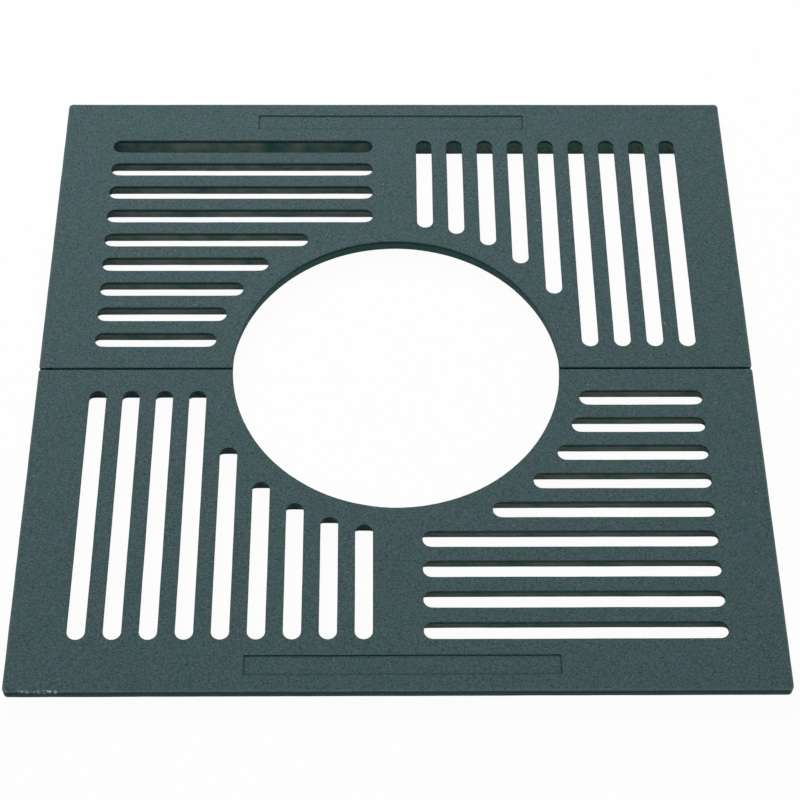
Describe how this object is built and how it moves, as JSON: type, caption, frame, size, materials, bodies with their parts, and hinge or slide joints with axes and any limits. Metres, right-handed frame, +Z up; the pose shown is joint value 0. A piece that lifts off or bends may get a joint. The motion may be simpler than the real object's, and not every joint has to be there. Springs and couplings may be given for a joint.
{
  "type": "tree grate",
  "caption": "Square cast iron tree grate in two bolted halves, with a round trunk hole and round-ended slots laid in a pinwheel.",
  "frame": {"origin": "middle of the trunk hole, on the plane that the feet of the border ribs stand on", "axes": "+X along the seam between the two halves, +Y towards the rear half, +Z up out of the walking surface"},
  "size_m": [1, 1, 0.032],
  "materials": {
    "painted_cast_iron": "matt dark green-grey paint on sand-cast iron",
    "zinc_plated_steel": "dull zinc plating"
  },
  "bodies": {
    "front_half_with_bolts": {"front_half": "painted_cast_iron", "left_bolt": "zinc_plated_steel", "left_head_washer": "zinc_plated_steel", "left_nut_washer": "zinc_plated_steel", "left_nut": "zinc_plated_steel", "right_bolt": "zinc_plated_steel", "right_head_washer": "zinc_plated_steel", "right_nut_washer": "zinc_plated_steel", "right_nut": "zinc_plated_steel"},
    "rear_half": {"rear_half": "painted_cast_iron"}
  },
  "joints": [
    {"name": "rear_half_lift", "type": "slide", "parent": "front_half_with_bolts", "child": "rear_half", "axis": [0, 0, 1], "range_m": [0, 0.15]}
  ]
}
